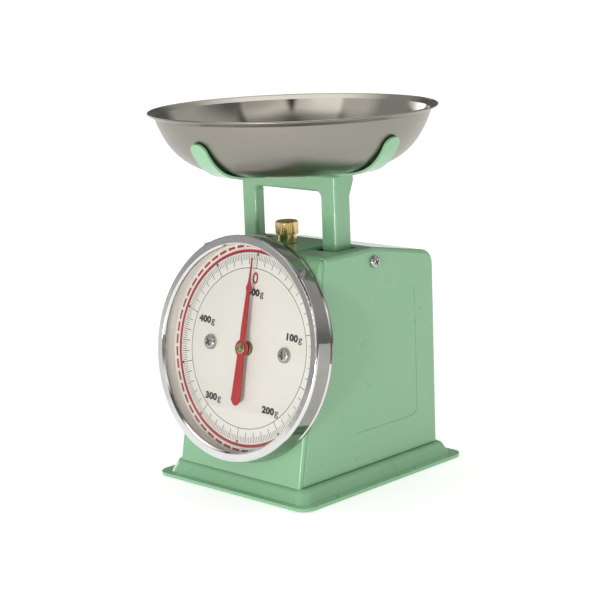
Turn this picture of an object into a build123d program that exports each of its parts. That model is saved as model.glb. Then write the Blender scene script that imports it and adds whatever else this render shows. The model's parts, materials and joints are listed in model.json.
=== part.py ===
from build123d import *
import math
import os

# Small spring dial scale: bowl pan on a sliding inverted-U frame, body on a flared base tray.
# Millimetres. +Z is up, the dial faces -Y, +X is to the right of someone reading the dial.
# Origin: on the table, under the centre of the pan.

# ---- base tray ----
BASE_HALF_X = 51.2
BASE_FRONT_Y = -54.2
BASE_REAR_Y = 63.0
BASE_CORNER_R = 6.5
BASE_TOP_Z = 8.4
LIP_BOTTOM_Z = 0.6
LIP_TOP_Z = 2.2
SKIRT_FOOT_INSET = 3.6
SKIRT_TOP_INSET = 6.4
TRAY_SHOULDER_R = 3.4
SHEET = 1.0
FOOT_X = 37.0
FOOT_FRONT_Y = -40.0
FOOT_REAR_Y = 49.0
FOOT_R = 4.5
FOOT_PLUG_R = 1.7
FOOT_HOLE_R = 1.8
FOOT_CHAMFER = 0.5
BASE_SCREW_X = 25.0
BASE_SCREW_FRONT_Y = -38.5
BASE_SCREW_REAR_Y = 39.0
BASE_SCREW_R = 1.5
BASE_SCREW_LONG = 3.6
BASE_SCREW_HEAD_R = 2.9
BASE_SCREW_HEAD_TALL = 1.9

# ---- body ----
BODY_HALF_X = 41.1
BODY_TOP_Z = 114.4
BODY_REAR_Y = 54.1
ROOF_BREAK_Y = 11.0
ROOF_REAR_Z = 106.4
TILT = 10.75
FACE_Y = -35.65
FACE_Z = 68.32
SEAM_DEPTH = 1.8
SEAM_GAP = 0.5
SHOULDER_R = 6.0
COVER_LIFT = 0.35
ROOF_REAR_R = 8.0
SIDE_EDGE_R = 2.2
PANEL_HALF_X = 40.9
PANEL_EDGE_R = 1.6
FLANGE_HALF_X = 37.4
FLANGE_REAR_Y = 10.6
TOP_GAP = 0.3
SLOT_INNER_X = 18.5
SLOT_OUTER_X = 34.5
SLOT_FRONT_Y = -10.6
SLOT_REAR_Y = 6.4
COVER_SCREW_Y = 9.3
COVER_SCREW_Z = 107.6
COVER_SCREW_HEAD_R = 3.0
COVER_SCREW_HEAD_TALL = 2.1
COVER_SCREW_R = 1.45
COVER_SCREW_LONG = 3.4
EMBOSS_FRONT_Y = -11.0
EMBOSS_REAR_Y = 39.0
EMBOSS_LOW_Z = 26.0
EMBOSS_HIGH_Z = 92.0
EMBOSS_DEEP = 0.2
EMBOSS_R = 5.0
RETURN_DEEP = 2.5
CORNER_BAND = 3.4

# ---- dial drum, measured out from the panel's face along its normal ----
DRUM_R = 54.1
DRUM_DEEP = 11.0
LIP_INNER_R = 49.3
HOUSING_R = 53.2
HOUSING_WALL = 0.8
HOUSING_FLOOR = 0.5
HOUSING_DEEP = 7.6
DIAL_R = 52.0
DIAL_THICK = 0.4
DIAL_TURN = 2.0
DIAL_RIM_TOP = 7.2
DIAL_RIM_THICK = 0.8
CENTRE_HOLE_R = 3.0
GASKET_TALL = 0.4
GASKET_WIDE = 1.2
LIP_THICK = 0.9
LIP_BEVEL = 0.8
LIP_EDGE_R = 1.2
LENS_R = 52.9
LENS_THICK = 1.4
DIAL_SCREW_X = 25.0
DIAL_SCREW_HEAD_R = 3.75
DIAL_SCREW_SHANK_R = 2.0
POINTER_W = 4.6
POINTER_THICK = 0.6
POINTER_BOSS_R = 4.2
POINTER_TIP = 43.6
POINTER_TAIL = 27.8
NUT_R = 2.7
NUT_TALL = 0.9
NUT_STEM_R = 1.65
NUT_STEM_TALL = 1.25

# ---- pointer drive ----
GEAR_MODULE = 0.4
PINION_TEETH = 10
PRESSURE_ANGLE = 20.0
SHAFT_R = 1.2
BUSH_BORE_R = 1.25
RACK_Y = -24.0
RACK_THICK_Y = 3.0
RACK_SCREW_X = 1.2
RACK_SCREW_Y = -8.0
TRAVEL = 12.8
MOVEMENT_DEEP = 20.0
PILLAR_X = 13.0

# ---- sliding frame ----
LEG_OUTER_X = 31.5
LEG_INNER_X = 21.5
LEG_FRONT_Y = -6.0
LEG_REAR_Y = 4.0
LEG_LOW_Z = 36.0
FRAME_TOP_Z = 150.2
WINDOW_TOP_Z = 141.6
FRAME_SHEET = 1.2
TOP_REAR_Y = 6.6
WINDOW_R = 3.0
FRAME_BEND_R = 1.8
INNER_FLANGE_Y = -0.5

# ---- pan support and pan ----
ARM_WIDTH = 10.0
ARM_TIP_R = 4.7
SUPPORT_RIVET_X = 22.0
SUPPORT_RIVET_R = 2.0
ARM_BEND_START = 35.0
ARM_SHEET = 1.1
PAN_BOTTOM_Z = FRAME_TOP_Z + ARM_SHEET
PAN_R = 70.0
PAN_SHEET = 0.6
PAN_FLAT_R = 34.0
PAN_KNUCKLE_R = 32.0
PAN_WALL_R = 58.6
PAN_BEAD_R = 0.55

# ---- zero adjuster ----
ZERO_Y = -7.0
STRIP_HALF_X = 18.0
STRIP_FRONT_Y = -23.5
STRIP_REAR_Y = 10.2
STRIP_THICK = 1.0
KNOB_R = 5.6
COLLAR_R = 4.6
COLLAR_TALL = 4.6
KNURL_TALL = 6.4
KNURL_COUNT = 40
ZERO_SCREW_R = 2.0
HANGER_LOW_Z = 96.0
HANGER_HIGH_Z = 100.0

# ---- springs ----
SPRING_X = 10.0
SPRING_COIL_R = 3.75
WIRE_R = 0.5
SPRING_LOW_Z = 41.4
SPRING_HIGH_Z = 94.4
SPRING_TURNS = 15

# ---- guide levers ----
LEVER_X = 17.0
LEVER_THICK = 1.2
LEVER_TALL = 6.4
ROD_R = 1.5
FRONT_ROD_Y = 1.5
REAR_ROD_Y = 42.0
LOWER_ROD_Z = 44.6
UPPER_ROD_Z = 88.0
LEVER_DROP = TRAVEL / 2
LEVER_REACH = REAR_ROD_Y - FRONT_ROD_Y
LEVER_ANGLE = math.degrees(math.atan2(LEVER_DROP, LEVER_REACH))

# ---- inner frame ----
INNER_SHEET = 1.2
EAR_X = 18.6
REAR_PLATE_Y = 47.0
INNER_TOP_Z = BODY_TOP_Z - SHEET
CROSSBAR_Z = 38.6
CROSSBAR_THICK = 1.5
BAR_RIVET_R = 1.5
BAR_RIVET_Y = -2.5
BAR_RIVET_Z = 50.0
BAR_END_THICK = 1.4

DIAL_PLACE = Location((0, FACE_Y, FACE_Z), (90 - TILT, 0, 0))
SLOPE = math.tan(math.radians(TILT))


def save(name, shape):
    """Write one named piece."""
    export_step(shape, f"parts/{name}.step")


def box(x0, x1, y0, y1, z0, z1):
    """Plain block between two corners."""
    block = Box(x1 - x0, y1 - y0, z1 - z0)
    return Pos((x0 + x1) / 2, (y0 + y1) / 2, (z0 + z1) / 2) * block


def rod_z(radius, z0, z1, x=0.0, y=0.0):
    """Upright cylinder between two heights."""
    return Pos(x, y, (z0 + z1) / 2) * Cylinder(radius, z1 - z0)


def rod_x(radius, x0, x1, y, z):
    """Cylinder lying along X."""
    return Pos((x0 + x1) / 2, y, z) * Rot(0, 90, 0) * Cylinder(radius, x1 - x0)


def side_rod(side, radius, near, far, y, z):
    """Cylinder along X on one side, between two distances from the middle."""
    x0, x1 = sorted((side * near, side * far))
    return rod_x(radius, x0, x1, y, z)


def side_box(side, near, far, y0, y1, z0, z1):
    """Block on one side, between two distances from the middle."""
    x0, x1 = sorted((side * near, side * far))
    return box(x0, x1, y0, y1, z0, z1)


def disc_up(radius, low, high):
    """Disc on the dial's axis between two heights."""
    return Pos(0, 0, (low + high) / 2) * Cylinder(radius, high - low)


def in_dial(shape):
    """Move a piece drawn on the dial's own axes to its place on the tilted panel."""
    return DIAL_PLACE * shape


def rounded_sheet(width, depth, corner, z, y_mid):
    """Flat rounded rectangle at a height."""
    return Pos(0, y_mid, z) * RectangleRounded(width, depth, corner)


def face_y(z):
    """Y of the front panel's outer face at a height."""
    return FACE_Y + (z - FACE_Z) * SLOPE


def cross_recess(width, arm, deep):
    """Cross-shaped driver recess, cut down from z = 0."""
    bar = Pos(0, 0, -deep / 2) * Box(width, arm, deep)
    return bar + Rot(0, 0, 90) * bar


def pan_head(head_r, head_tall, shank_r, shank_long):
    """Domed screw: head above z = 0, shank below."""
    head = Cylinder(head_r, head_tall, align=(Align.CENTER, Align.CENTER, Align.MIN))
    head = fillet(head.edges().sort_by(Axis.Z)[-1], head_tall * 0.7)
    head = head - Pos(0, 0, head_tall) * cross_recess(head_r * 1.05, head_r * 0.26, head_tall * 0.55)
    shank = Cylinder(shank_r, shank_long, align=(Align.CENTER, Align.CENTER, Align.MAX))
    return head + shank


# ---------------------------------------------------------------- base

def tray_block(extra):
    """Flared tray as a solid, shrunk all round by a sheet thickness when extra is positive."""
    y_mid = (BASE_FRONT_Y + BASE_REAR_Y) / 2
    width = 2 * BASE_HALF_X
    depth = BASE_REAR_Y - BASE_FRONT_Y
    low = LIP_BOTTOM_Z if extra == 0 else LIP_BOTTOM_Z - 1
    lip_sheet = rounded_sheet(width - 2 * extra, depth - 2 * extra, BASE_CORNER_R - extra * 0.8, low, y_mid)
    lip = extrude(lip_sheet, amount=LIP_TOP_Z - extra - low)
    foot_inset = 2 * (SKIRT_FOOT_INSET + extra)
    top_inset = 2 * (SKIRT_TOP_INSET + extra * 0.9)
    foot = rounded_sheet(width - foot_inset, depth - foot_inset, BASE_CORNER_R, LIP_TOP_Z - extra, y_mid)
    top = rounded_sheet(width - top_inset, depth - top_inset, BASE_CORNER_R, BASE_TOP_Z - extra, y_mid)
    skirt = loft([foot, top])
    skirt = fillet(skirt.faces().sort_by(Axis.Z)[-1].edges(), TRAY_SHOULDER_R - extra)
    return lip + skirt


def base_tray():
    """Pressed base: flat top, rounded shoulder, flared skirt and turned-down lip."""
    tray = tray_block(0) - tray_block(SHEET)
    for x in (-BASE_SCREW_X, BASE_SCREW_X):
        for y in (BASE_SCREW_FRONT_Y, BASE_SCREW_REAR_Y):
            tray -= rod_z(BASE_SCREW_R + 0.1, 4, 12, x, y)
    for x in (-FOOT_X, FOOT_X):
        for y in (FOOT_FRONT_Y, FOOT_REAR_Y):
            tray -= rod_z(FOOT_HOLE_R, 4, 12, x, y)
    return tray


def rubber_feet():
    """Four rubber feet plugged into the tray from below."""
    feet = []
    for x in (-FOOT_X, FOOT_X):
        for y in (FOOT_FRONT_Y, FOOT_REAR_Y):
            pad = rod_z(FOOT_R, 0, BASE_TOP_Z - SHEET, x, y)
            pad = chamfer(pad.edges().sort_by(Axis.Z)[0], FOOT_CHAMFER)
            feet.append(pad + rod_z(FOOT_PLUG_R, BASE_TOP_Z - SHEET, BASE_TOP_Z, x, y))
    return Compound(children=feet)


def base_screws():
    """Four screws driven up through the tray."""
    screws = []
    for x in (-BASE_SCREW_X, BASE_SCREW_X):
        for y in (BASE_SCREW_FRONT_Y, BASE_SCREW_REAR_Y):
            screw = pan_head(BASE_SCREW_HEAD_R, BASE_SCREW_HEAD_TALL, BASE_SCREW_R, BASE_SCREW_LONG)
            screw = Rot(180, 0, 0) * screw
            screws.append(Pos(x, y, BASE_TOP_Z - SHEET) * screw)
    return Compound(children=screws)


# ---------------------------------------------------------------- body

def side_prism(inset, half_x, low_z, edge_r):
    """Body block from its side profile, shrunk by a sheet thickness."""
    front_low = face_y(low_z) + SEAM_DEPTH / math.cos(math.radians(TILT))
    front_high = face_y(BODY_TOP_Z) + SEAM_DEPTH / math.cos(math.radians(TILT))
    points = [
        (front_low, low_z),
        (front_high, BODY_TOP_Z),
        (ROOF_BREAK_Y, BODY_TOP_Z),
        (BODY_REAR_Y, ROOF_REAR_Z),
        (BODY_REAR_Y, low_z),
    ]
    face = make_face(Polyline(*points, close=True))
    rear_top = face.vertices().filter_by(lambda v: v.X > BODY_REAR_Y - 1 and v.Y > ROOF_REAR_Z - 1)
    face = fillet(rear_top, ROOF_REAR_R)
    if inset > 0:
        face = offset(face, amount=-inset)
    prism = extrude(Plane.YZ * face, amount=half_x, both=True)
    edges = prism.edges().filter_by_position(Axis.X, half_x - 0.01, half_x + 0.01)
    edges += prism.edges().filter_by_position(Axis.X, -half_x - 0.01, -half_x + 0.01)
    upper = [e for e in edges if e.center().Z > low_z + inset + 0.5]
    return fillet(upper, edge_r)


def body_cover():
    """Sides, rear and sloping roof in one pressed sheet."""
    outer = side_prism(0, BODY_HALF_X, BASE_TOP_Z + COVER_LIFT, SIDE_EDGE_R)
    inner = side_prism(SHEET, BODY_HALF_X - SHEET, BASE_TOP_Z - 4, SIDE_EDGE_R - SHEET)
    cover = outer - inner
    ahead = in_dial(Pos(0, 0, 50 - SEAM_DEPTH - SEAM_GAP) * Box(200, 300, 100))
    cover -= ahead
    open_front = in_dial(Pos(0, 0, -4) * Box(2 * (BODY_HALF_X - SHEET), 300, 8))
    cover -= open_front & box(-60, 60, -90, 60, -20, BODY_TOP_Z - SHEET)
    half = FLANGE_HALF_X + TOP_GAP
    cover -= box(-half, half, -60, FLANGE_REAR_Y + TOP_GAP, BODY_TOP_Z - 3, BODY_TOP_Z + 3)
    for side in (-1, 1):
        recess = side_box(side, BODY_HALF_X - EMBOSS_DEEP, BODY_HALF_X + 5, EMBOSS_FRONT_Y, EMBOSS_REAR_Y,
                          EMBOSS_LOW_Z, EMBOSS_HIGH_Z)
        cover -= fillet(recess.edges().filter_by(Axis.X), EMBOSS_R)
        cover -= side_rod(side, COVER_SCREW_R + 0.25, BODY_HALF_X - 3, BODY_HALF_X + 3,
                          COVER_SCREW_Y, COVER_SCREW_Z)
    return cover


def front_panel():
    """Tilted face sheet that bends over the shoulder into the top flange."""
    low = BASE_TOP_Z
    corner_y = face_y(BODY_TOP_Z)

    def profile(inset, rear_y, foot):
        """Solid side profile of the panel, its face and top moved in by an inset."""
        back = inset / math.cos(math.radians(TILT))
        face = make_face(Polyline(
            (face_y(foot) + back, foot),
            (face_y(BODY_TOP_Z - inset) + back, BODY_TOP_Z - inset),
            (rear_y, BODY_TOP_Z - inset),
            (rear_y, foot),
            close=True))
        corner = face.vertices().filter_by(lambda v: v.X < corner_y + 3 and v.Y > BODY_TOP_Z - 3)
        return fillet(corner, SHOULDER_R - inset)

    outline = profile(0, FLANGE_REAR_Y, low)
    inside = profile(SHEET, FLANGE_REAR_Y + 5, low - 4)
    wide = extrude(Plane.YZ * outline, amount=PANEL_HALF_X, both=True)
    at_sides = wide.edges().filter_by(lambda e: abs(e.center().X) > PANEL_HALF_X - 0.01)
    wide = fillet(at_sides.filter_by(lambda e: face_y(e.center().Z) + 3 > e.center().Y), PANEL_EDGE_R)
    ahead = in_dial(Pos(0, 0, 50 - SEAM_DEPTH) * Box(200, 300, 100))
    front = wide & ahead
    narrow_half = BODY_HALF_X - SHEET - 0.2
    narrow = extrude(Plane.YZ * outline, amount=narrow_half, both=True)
    back = in_dial(Pos(0, 0, -SEAM_DEPTH - RETURN_DEEP) * Box(200, 300, 2 * RETURN_DEEP))
    corner_band = box(-100, 100, corner_y - 2, 60, BODY_TOP_Z - CORNER_BAND, BODY_TOP_Z + 5)
    returns = (narrow & back) - corner_band
    flange = extrude(Plane.YZ * outline, amount=FLANGE_HALF_X, both=True) & corner_band
    hollow = extrude(Plane.YZ * inside, amount=narrow_half - SHEET, both=True)
    panel = front + returns + flange - hollow
    panel += box(-FLANGE_HALF_X, FLANGE_HALF_X, face_y(low) + 0.5, face_y(low) + 10, low, low + SHEET)
    for side in (-1, 1):
        slot = side_box(side, SLOT_INNER_X, SLOT_OUTER_X, SLOT_FRONT_Y, SLOT_REAR_Y,
                        BODY_TOP_Z - 4, BODY_TOP_Z + 4)
        panel -= fillet(slot.edges().filter_by(Axis.Z), 1.0)
        panel -= in_dial(Pos(side * DIAL_SCREW_X, 0, 0) * Cylinder(DIAL_SCREW_SHANK_R + 0.1, 12))
        panel -= rod_z(BASE_SCREW_R, low - 2, low + 4, side * BASE_SCREW_X, BASE_SCREW_FRONT_Y)
    panel -= in_dial(Cylinder(CENTRE_HOLE_R, 12))
    panel -= rod_z(2.6, BODY_TOP_Z - 4, BODY_TOP_Z + 4, 0, ZERO_Y)
    return panel


def cover_screws():
    """One screw each side, holding the cover to the inner frame's ears."""
    screw = pan_head(COVER_SCREW_HEAD_R, COVER_SCREW_HEAD_TALL, COVER_SCREW_R, COVER_SCREW_LONG)
    screws = []
    for side, turn in ((1, 20), (-1, 55)):
        spot = Pos(side * BODY_HALF_X, COVER_SCREW_Y, COVER_SCREW_Z)
        screws.append(spot * Rot(0, side * 90, 0) * Rot(0, 0, turn) * screw)
    return screws


def top_strip():
    """Raised strip between the leg slots that carries the zero knob."""
    strip = box(-STRIP_HALF_X, STRIP_HALF_X, STRIP_FRONT_Y, STRIP_REAR_Y,
                BODY_TOP_Z, BODY_TOP_Z + STRIP_THICK)
    strip = fillet(strip.edges().filter_by(Axis.Z), 1.5)
    strip = fillet(strip.faces().sort_by(Axis.Z)[-1].edges(), 0.5)
    return strip - rod_z(ZERO_SCREW_R + 0.05, BODY_TOP_Z - 2, BODY_TOP_Z + 4, 0, ZERO_Y)


def inner_frame():
    """Bent sheet frame: floor flange, rear plate with lever ears, bridge under the top."""
    t = INNER_SHEET
    low = BASE_TOP_Z
    frame = box(-34, 34, 32, REAR_PLATE_Y + t, low, low + t)
    frame += box(-24, 24, REAR_PLATE_Y, REAR_PLATE_Y + t, low, 105.5)
    frame += box(-15, 15, -21, 10.6, INNER_TOP_Z - t, INNER_TOP_Z)
    frame += box(-39.0, 39.0, 7.4, 14.0, 108.0, 108.0 + t)
    strap_drop = (REAR_PLATE_Y + t - ROOF_BREAK_Y) * (BODY_TOP_Z - ROOF_REAR_Z) / (BODY_REAR_Y - ROOF_BREAK_Y)
    strap_z = INNER_TOP_Z - strap_drop - 0.15
    brace = make_face(Polyline((10.0, INNER_TOP_Z - t), (10.6, INNER_TOP_Z), (REAR_PLATE_Y + t, strap_z),
                               (REAR_PLATE_Y + t, strap_z - t), close=True))
    frame += extrude(Plane.YZ * brace, amount=15, both=True)
    for side in (-1, 1):
        frame += side_box(side, EAR_X, EAR_X + t, 37.5, REAR_PLATE_Y + t, 28, 92)
        frame += side_box(side, 15.2 - t, 15.2, 7.4, 10.6, 108, INNER_TOP_Z)
        frame += side_box(side, BODY_HALF_X - SHEET - t, BODY_HALF_X - SHEET, 5.4, 14.0, 103, 108.0 + t)
        frame -= side_rod(side, COVER_SCREW_R, 30, 45, COVER_SCREW_Y, COVER_SCREW_Z)
        frame -= rod_z(BASE_SCREW_R, low - 2, low + 4, side * BASE_SCREW_X, BASE_SCREW_REAR_Y)
    for z in (LOWER_ROD_Z - LEVER_DROP, UPPER_ROD_Z - LEVER_DROP):
        frame -= rod_x(ROD_R, -30, 30, REAR_ROD_Y, z)
    frame -= rod_z(2.6, 105, 120, 0, ZERO_Y)
    return frame


def travel_stops():
    """Rubber buffers that the legs meet at full load."""
    tall = LEG_LOW_Z - TRAVEL - BASE_TOP_Z - 0.1
    buffers = []
    for side in (-1, 1):
        x = side * (LEG_OUTER_X + LEG_INNER_X) / 2
        buffer = rod_z(4.2, BASE_TOP_Z, BASE_TOP_Z + tall, x, -1.0)
        buffers.append(fillet(buffer.edges().sort_by(Axis.Z)[-1], 1.0))
    return Compound(children=buffers)


# ---------------------------------------------------------------- dial drum

def dial_housing():
    """Shallow pressed dish behind the dial."""
    dish = disc_up(HOUSING_R, 0, HOUSING_DEEP)
    dish = fillet(dish.edges().sort_by(Axis.Z)[0], 0.7)
    dish -= disc_up(HOUSING_R - HOUSING_WALL, HOUSING_FLOOR, 20)
    for side in (-1, 1):
        dish -= Pos(side * DIAL_SCREW_X, 0, 0) * Cylinder(DIAL_SCREW_SHANK_R + 0.1, 12)
    return in_dial(dish - Cylinder(CENTRE_HOLE_R, 12))


def dial_plate():
    """Printed metal dial disc with its rim turned up to the lens."""
    disc = disc_up(DIAL_R, HOUSING_FLOOR, DIAL_RIM_TOP)
    disc -= disc_up(DIAL_R - DIAL_RIM_THICK, HOUSING_FLOOR + DIAL_THICK, 20)
    for side in (-1, 1):
        disc -= Pos(side * DIAL_SCREW_X, 0, 0) * Cylinder(DIAL_SCREW_SHANK_R + 0.1, 12)
    return in_dial(disc - Cylinder(CENTRE_HOLE_R, 12))


def dial_screws():
    """Two pan-head screws through dial, housing and panel."""
    face_w = HOUSING_FLOOR + DIAL_THICK
    screws = []
    for side, turn in ((-1, 35), (1, 10)):
        screw = Rot(0, 0, turn) * pan_head(DIAL_SCREW_HEAD_R, 2.3, DIAL_SCREW_SHANK_R, 6.6)
        screws.append(in_dial(Pos(side * DIAL_SCREW_X, 0, face_w) * screw))
    return Compound(children=screws)


def dial_nuts():
    """Hexagon nuts on the back of the panel."""
    nuts = []
    for side in (-1, 1):
        nut = extrude(RegularPolygon(3.6, 6), amount=2.4) - Cylinder(DIAL_SCREW_SHANK_R, 12)
        nuts.append(in_dial(Pos(side * DIAL_SCREW_X, 0, -SHEET - 2.4) * nut))
    return Compound(children=nuts)


def bezel():
    """Deep chrome ring: skirt round the housing and lip over the lens."""
    inner = HOUSING_R + 0.15
    profile = make_face(Polyline(
        (inner, 0.4),
        (DRUM_R + 0.5, 0.4),
        (DRUM_R + 0.5, 1.2),
        (DRUM_R, 1.9),
        (DRUM_R, DRUM_DEEP),
        (LIP_INNER_R + LIP_BEVEL, DRUM_DEEP),
        (LIP_INNER_R, DRUM_DEEP - 1.0),
        (LIP_INNER_R, DRUM_DEEP - 1.0 - LIP_THICK),
        (LIP_INNER_R + 0.6, DRUM_DEEP - 1.0 - LIP_THICK),
        (inner, DRUM_DEEP - 1.2),
        close=True))
    corner = profile.vertices().filter_by(lambda v: v.Y > DRUM_DEEP - 0.1 and v.X > DRUM_R - 0.1)
    profile = fillet(corner, LIP_EDGE_R)
    ridge = profile.vertices().filter_by(lambda v: v.Y > DRUM_DEEP - 0.1 and v.X < LIP_INNER_R + 1.0)
    profile = fillet(ridge, 0.3)
    return in_dial(revolve(Plane.XZ * profile, Axis.Z, 360))


def lens():
    """Clear round pane."""
    top = DRUM_DEEP - 1.95
    return in_dial(disc_up(LENS_R, top - LENS_THICK, top))


def lens_gasket():
    """Thin soft ring between the pane and the dial's rim."""
    high = DRUM_DEEP - 1.95 - LENS_THICK
    outer = HOUSING_R - HOUSING_WALL
    ring = disc_up(outer, high - GASKET_TALL, high) - Cylinder(outer - GASKET_WIDE, 40)
    return in_dial(ring)


# ---------------------------------------------------------------- pointer and its drive

def pointer():
    """Tapered hand with a small diamond swell, round boss and broad blunt tail."""
    right = [
        (0.2, POINTER_TIP),
        (0.45, 34.0),
        (0.75, 31.4),
        (1.65, 29.3),
        (1.05, 27.0),
        (1.75, 10.0),
        (1.75, 0.0),
        (2.2, -4.0),
        (2.9, -24.2),
        (3.3, -25.0),
        (1.2, 0.4 - POINTER_TAIL),
    ]
    left = [(-x, y) for x, y in reversed(right)]
    blade = make_face(Polyline(*right, (0.0, -POINTER_TAIL), *left, close=True))
    hand = extrude(blade + Circle(POINTER_BOSS_R), amount=POINTER_THICK)
    return in_dial(Pos(0, 0, POINTER_W) * Rot(0, 0, -DIAL_TURN) * (hand - Cylinder(SHAFT_R, 5)))


def pointer_nut():
    """Round brass nut with a hollow-ended stem, locking the hand on the shaft."""
    top = NUT_TALL + NUT_STEM_TALL
    nut = disc_up(NUT_R, 0, NUT_TALL)
    nut = fillet(nut.edges().sort_by(Axis.Z)[-1], 0.35)
    stem = disc_up(NUT_STEM_R, NUT_TALL, top)
    nut += chamfer(stem.edges().sort_by(Axis.Z)[-1], 0.3)
    nut -= disc_up(NUT_STEM_R - 0.8, top - 0.5, top)
    nut -= disc_up(SHAFT_R, 0, NUT_TALL)
    return in_dial(Pos(0, 0, POINTER_W + POINTER_THICK) * nut)


def pinion_shaft():
    """Slim steel spindle from the rear bush to the hand, with a stop collar."""
    back = -MOVEMENT_DEEP - 3.0
    front = POINTER_W + POINTER_THICK + 0.8
    shaft = disc_up(SHAFT_R, back, front)
    return in_dial(shaft + disc_up(2.2, POINTER_W - 1.2, POINTER_W))


def front_bush():
    """Brass bearing swaged through panel, housing and dial, with a flange on each side."""
    face_w = HOUSING_FLOOR + DIAL_THICK
    bush = disc_up(CENTRE_HOLE_R, -SHEET - 0.4, face_w)
    bush += disc_up(4.4, -SHEET - 1.6, -SHEET)
    nose = disc_up(3.5, face_w, face_w + 1.8)
    bush += chamfer(nose.edges().sort_by(Axis.Z)[-1], 0.4)
    return in_dial(bush - Cylinder(BUSH_BORE_R, 20))


def rear_bush():
    """Flanged brass bearing in the movement plate."""
    bush = disc_up(2.4, -MOVEMENT_DEEP - 1.2, -MOVEMENT_DEEP)
    bush += disc_up(3.4, -MOVEMENT_DEEP, -MOVEMENT_DEEP + 1.0)
    return in_dial(bush - Pos(0, 0, -MOVEMENT_DEEP) * Cylinder(BUSH_BORE_R, 10))


def involute(angle):
    """Involute function of a pressure angle in radians."""
    return math.tan(angle) - angle


def pinion():
    """Ten-tooth brass pinion; a tooth space faces the rack at rest."""
    pitch_r = GEAR_MODULE * PINION_TEETH / 2
    pressure = math.radians(PRESSURE_ANGLE)
    base_r = pitch_r * math.cos(pressure)
    tip_r = pitch_r + 0.75 * GEAR_MODULE
    root_r = pitch_r - 1.05 * GEAR_MODULE
    backlash = 0.022
    half_pitch = math.pi / (2 * PINION_TEETH) - backlash / pitch_r
    at_base = half_pitch + involute(pressure)
    flank = [(root_r - 0.2, at_base), (base_r, at_base)]
    for step in range(1, 7):
        r = base_r + (tip_r - base_r) * step / 6
        flank.append((r, at_base - involute(math.acos(base_r / r))))
    right = [(r * math.sin(a), r * math.cos(a)) for r, a in flank]
    left = [(-x, y) for x, y in reversed(right)]
    tooth = make_face(Polyline(*right, *left, close=True))
    wheel = Sketch() + Circle(root_r)
    for index in range(PINION_TEETH):
        turn = 90 + (index + 0.5) * 360 / PINION_TEETH
        wheel += Rot(0, 0, turn) * tooth
    gear = extrude(wheel, amount=6.0)
    hub = Pos(0, 0, 6.0) * Cylinder(root_r, 2.0, align=(Align.CENTER, Align.CENTER, Align.MIN))
    return in_dial(Pos(0, 0, -15.0) * (gear + hub - Cylinder(SHAFT_R, 40)))


def rack():
    """Upright rack on a foot; its teeth lie parallel to the tilted pinion."""
    pitch = math.pi * GEAR_MODULE
    pitch_r = GEAR_MODULE * PINION_TEETH / 2
    slant = math.tan(math.radians(PRESSURE_ANGLE))
    high = 0.5 * GEAR_MODULE
    deep = 0.95 * GEAR_MODULE
    half = pitch / 4 - 0.022
    centre_z = FACE_Z - (RACK_Y - FACE_Y) * SLOPE
    comb = Sketch() + Pos(-pitch_r - deep - 1.2, 9) * Rectangle(2.4, 40)
    for index in range(-2, 15):
        tooth = make_face(Polyline(
            (-pitch_r - deep - 0.1, -half - (deep + 0.1) * slant),
            (-pitch_r + high, -half + high * slant),
            (-pitch_r + high, half - high * slant),
            (-pitch_r - deep - 0.1, half + (deep + 0.1) * slant),
            close=True))
        comb += Pos(0, index * pitch) * tooth
    teeth = in_dial(Pos(0, 0, -40) * extrude(comb, amount=60))
    y0 = RACK_Y - RACK_THICK_Y / 2
    y1 = RACK_Y + RACK_THICK_Y / 2
    x_root = -pitch_r - deep
    bar = teeth & box(-6, 0, y0, y1, centre_z - 3.5, centre_z + 18.0)
    bar += box(x_root - 2.4, x_root - 0.2, y0, y1, CROSSBAR_Z + CROSSBAR_THICK, centre_z - 3)
    foot_z = CROSSBAR_Z + CROSSBAR_THICK
    foot = box(x_root - 2.4, x_root + 4.2, y0, -5.0, foot_z, foot_z + 1.2)
    bar += foot
    return mirror(bar - rod_z(1.0, 30, 50, -RACK_SCREW_X, RACK_SCREW_Y), Plane.YZ)


def rack_screw():
    """Small screw holding the rack's foot on the cross bar."""
    screw = pan_head(1.9, 1.2, 1.0, 2.9)
    return Pos(RACK_SCREW_X, RACK_SCREW_Y, CROSSBAR_Z + CROSSBAR_THICK + 1.2) * screw


def movement_plate():
    """Rear plate of the pointer drive."""
    plate = extrude(RectangleRounded(2 * PILLAR_X + 8, 12, 3), amount=1.2)
    plate -= Cylinder(2.4, 10)
    for side in (-1, 1):
        plate -= Pos(side * PILLAR_X, 0, 0) * Cylinder(1.3, 10)
    return in_dial(Pos(0, 0, -MOVEMENT_DEEP - 1.2) * plate)


def movement_pillars():
    """Two brass pillars standing off the back of the panel."""
    tall = MOVEMENT_DEEP - SHEET
    pillars = []
    for side in (-1, 1):
        pillar = Cylinder(2.2, tall, align=(Align.CENTER, Align.CENTER, Align.MIN))
        pillar -= Cylinder(1.25, 12)
        pillars.append(in_dial(Pos(side * PILLAR_X, 0, -MOVEMENT_DEEP) * pillar))
    return Compound(children=pillars)


def movement_screws():
    """Screws fixing the movement plate to its pillars."""
    screws = []
    for side in (-1, 1):
        screw = Rot(180, 0, 0) * pan_head(2.3, 1.4, 1.25, 5.0)
        screws.append(in_dial(Pos(side * PILLAR_X, 0, -MOVEMENT_DEEP - 1.2) * screw))
    return Compound(children=screws)


# ---------------------------------------------------------------- sliding frame

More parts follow.
